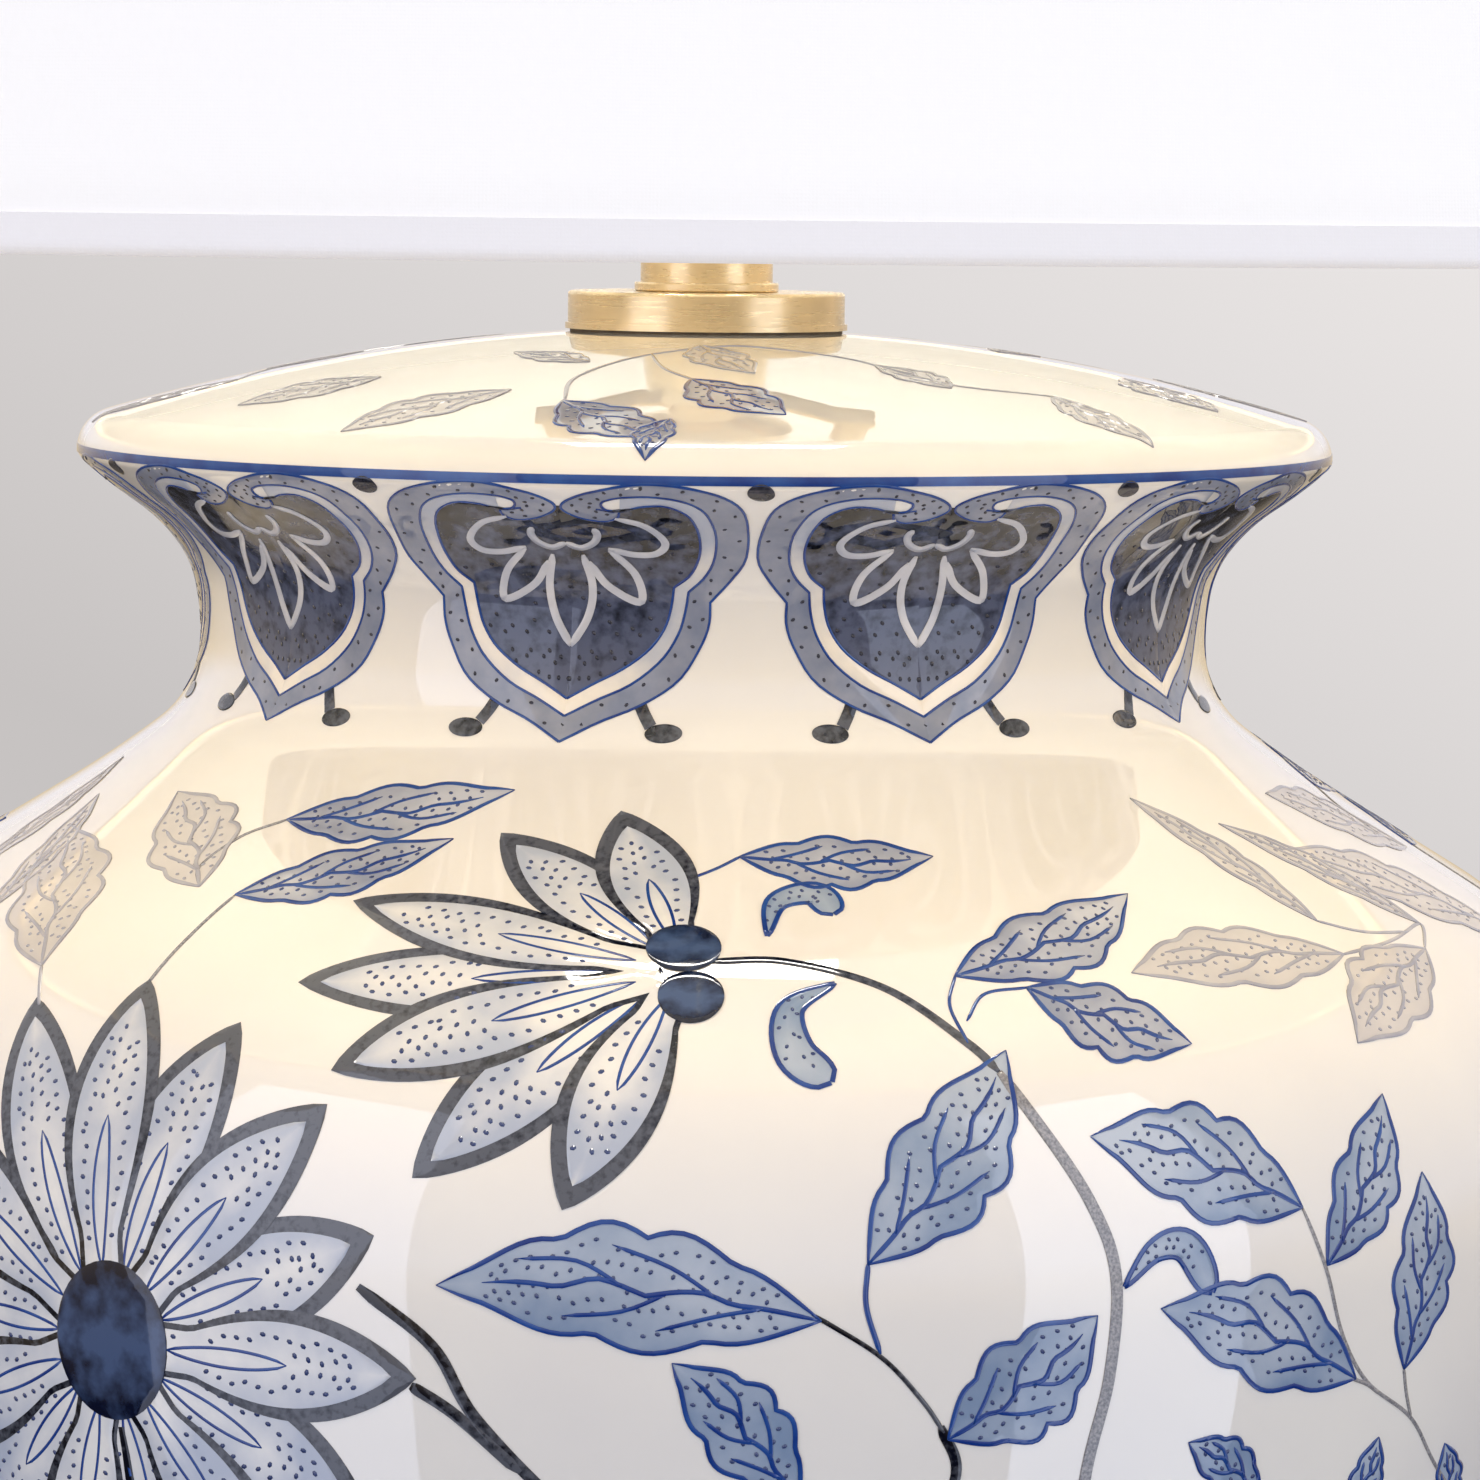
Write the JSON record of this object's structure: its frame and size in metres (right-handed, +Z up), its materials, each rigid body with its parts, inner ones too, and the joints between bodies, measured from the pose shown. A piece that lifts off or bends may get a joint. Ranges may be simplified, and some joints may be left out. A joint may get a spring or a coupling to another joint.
{
  "type": "table lamp",
  "caption": "Ceramic jar table lamp with brass base and neck, wire harp, turn-switch socket, screw-in bulb and a tapered fabric shade held by a finial.",
  "frame": {"origin": "centre of the felt underside, on the lamp's axis", "axes": "+Z up along the rod, -Y towards the pictured front and the switch, X across the harp"},
  "size_m": [0.4585, 0.4584, 0.7092],
  "materials": {
    "felt": "napped",
    "brass": "brushed satin",
    "steel": "zinc plated",
    "bushing": "matte",
    "gasket": "matte",
    "porcelain": "gloss glaze",
    "moulding": "matte",
    "sleeve_board": "matte",
    "alloy": "satin",
    "contact_brass": "satin",
    "black_glass": "gloss",
    "bulb_white": "matte",
    "bulb_globe": "frosted",
    "shade_cloth": "fine weave",
    "shade_sheet": "satin",
    "shade_wire": "white paint"
  },
  "bodies": {
    "lamp": {"felt_pad": "felt", "base_plinth": "brass", "base_plate": "brass", "cord_bushing": "bushing", "base_washer": "steel", "base_nut": "steel", "lamp_rod": "steel", "foot_gasket": "gasket", "ceramic_body": "porcelain", "cap_washer": "gasket", "vase_cap": "brass", "neck_tube": "brass", "harp_saddle": "brass", "harp": "brass", "harp_stud": "brass", "socket_cap": "brass", "socket_cap_screw": "steel", "socket_shell": "brass", "socket_sleeve": "sleeve_board", "socket_body": "moulding", "socket_terminals": "steel", "socket_screw_shell": "alloy", "socket_contact": "contact_brass"},
    "left_sleeve": {"harp_sleeve_left": "brass"},
    "right_sleeve": {"harp_sleeve_right": "brass"},
    "switch": {"switch_spindle": "steel", "switch_knob": "moulding"},
    "bulb_screw": {"bulb_contact": "contact_brass"},
    "bulb": {"bulb_insulator": "black_glass", "bulb_cap": "alloy", "bulb_housing": "bulb_white", "bulb_board": "bulb_white", "bulb_diffuser": "bulb_globe"},
    "shade": {"shade_liner": "shade_sheet", "shade_fabric": "shade_cloth", "shade_spider": "shade_wire", "shade_bottom_ring": "shade_wire", "shade_top_hem": "shade_cloth", "shade_bottom_hem": "shade_cloth"},
    "finial_screw": {"finial_bush": "brass"},
    "finial": {"finial_knob": "brass"}
  },
  "joints": [
    {"name": "switch_turn", "type": "hinge", "parent": "lamp", "child": "switch", "pos_m": [0, -0.017, 0.44807], "axis": [0, -1, 0], "continuous": true},
    {"name": "left_sleeve_lift", "type": "slide", "parent": "lamp", "child": "left_sleeve", "axis": [0, 0, 1], "range_m": [0, 0.016]},
    {"name": "right_sleeve_lift", "type": "slide", "parent": "lamp", "child": "right_sleeve", "axis": [0, 0, 1], "range_m": [0, 0.016]},
    {"name": "bulb_rise", "type": "slide", "parent": "lamp", "child": "bulb_screw", "axis": [0, 0, 1], "range_m": [0, 0.0118]},
    {"name": "bulb_turn", "type": "hinge", "parent": "bulb_screw", "child": "bulb", "pos_m": [0, 0, 0.4627], "axis": [0, 0, 1], "range_deg": [0, 1170]},
    {"name": "shade_turn", "type": "hinge", "parent": "lamp", "child": "shade", "pos_m": [0, 0, 0.67427], "axis": [0, 0, 1], "continuous": true},
    {"name": "finial_rise", "type": "slide", "parent": "lamp", "child": "finial_screw", "axis": [0, 0, 1], "range_m": [0, 0.01036]},
    {"name": "finial_turn", "type": "hinge", "parent": "finial_screw", "child": "finial", "pos_m": [0, 0, 0.676], "axis": [0, 0, 1], "range_deg": [0, 3960]}
  ],
  "couplings": [
    {"joint": "bulb_rise", "follows": "bulb_turn", "m_per_rad": 0.00057757},
    {"joint": "finial_rise", "follows": "finial_turn", "m_per_rad": 0.00014972}
  ]
}
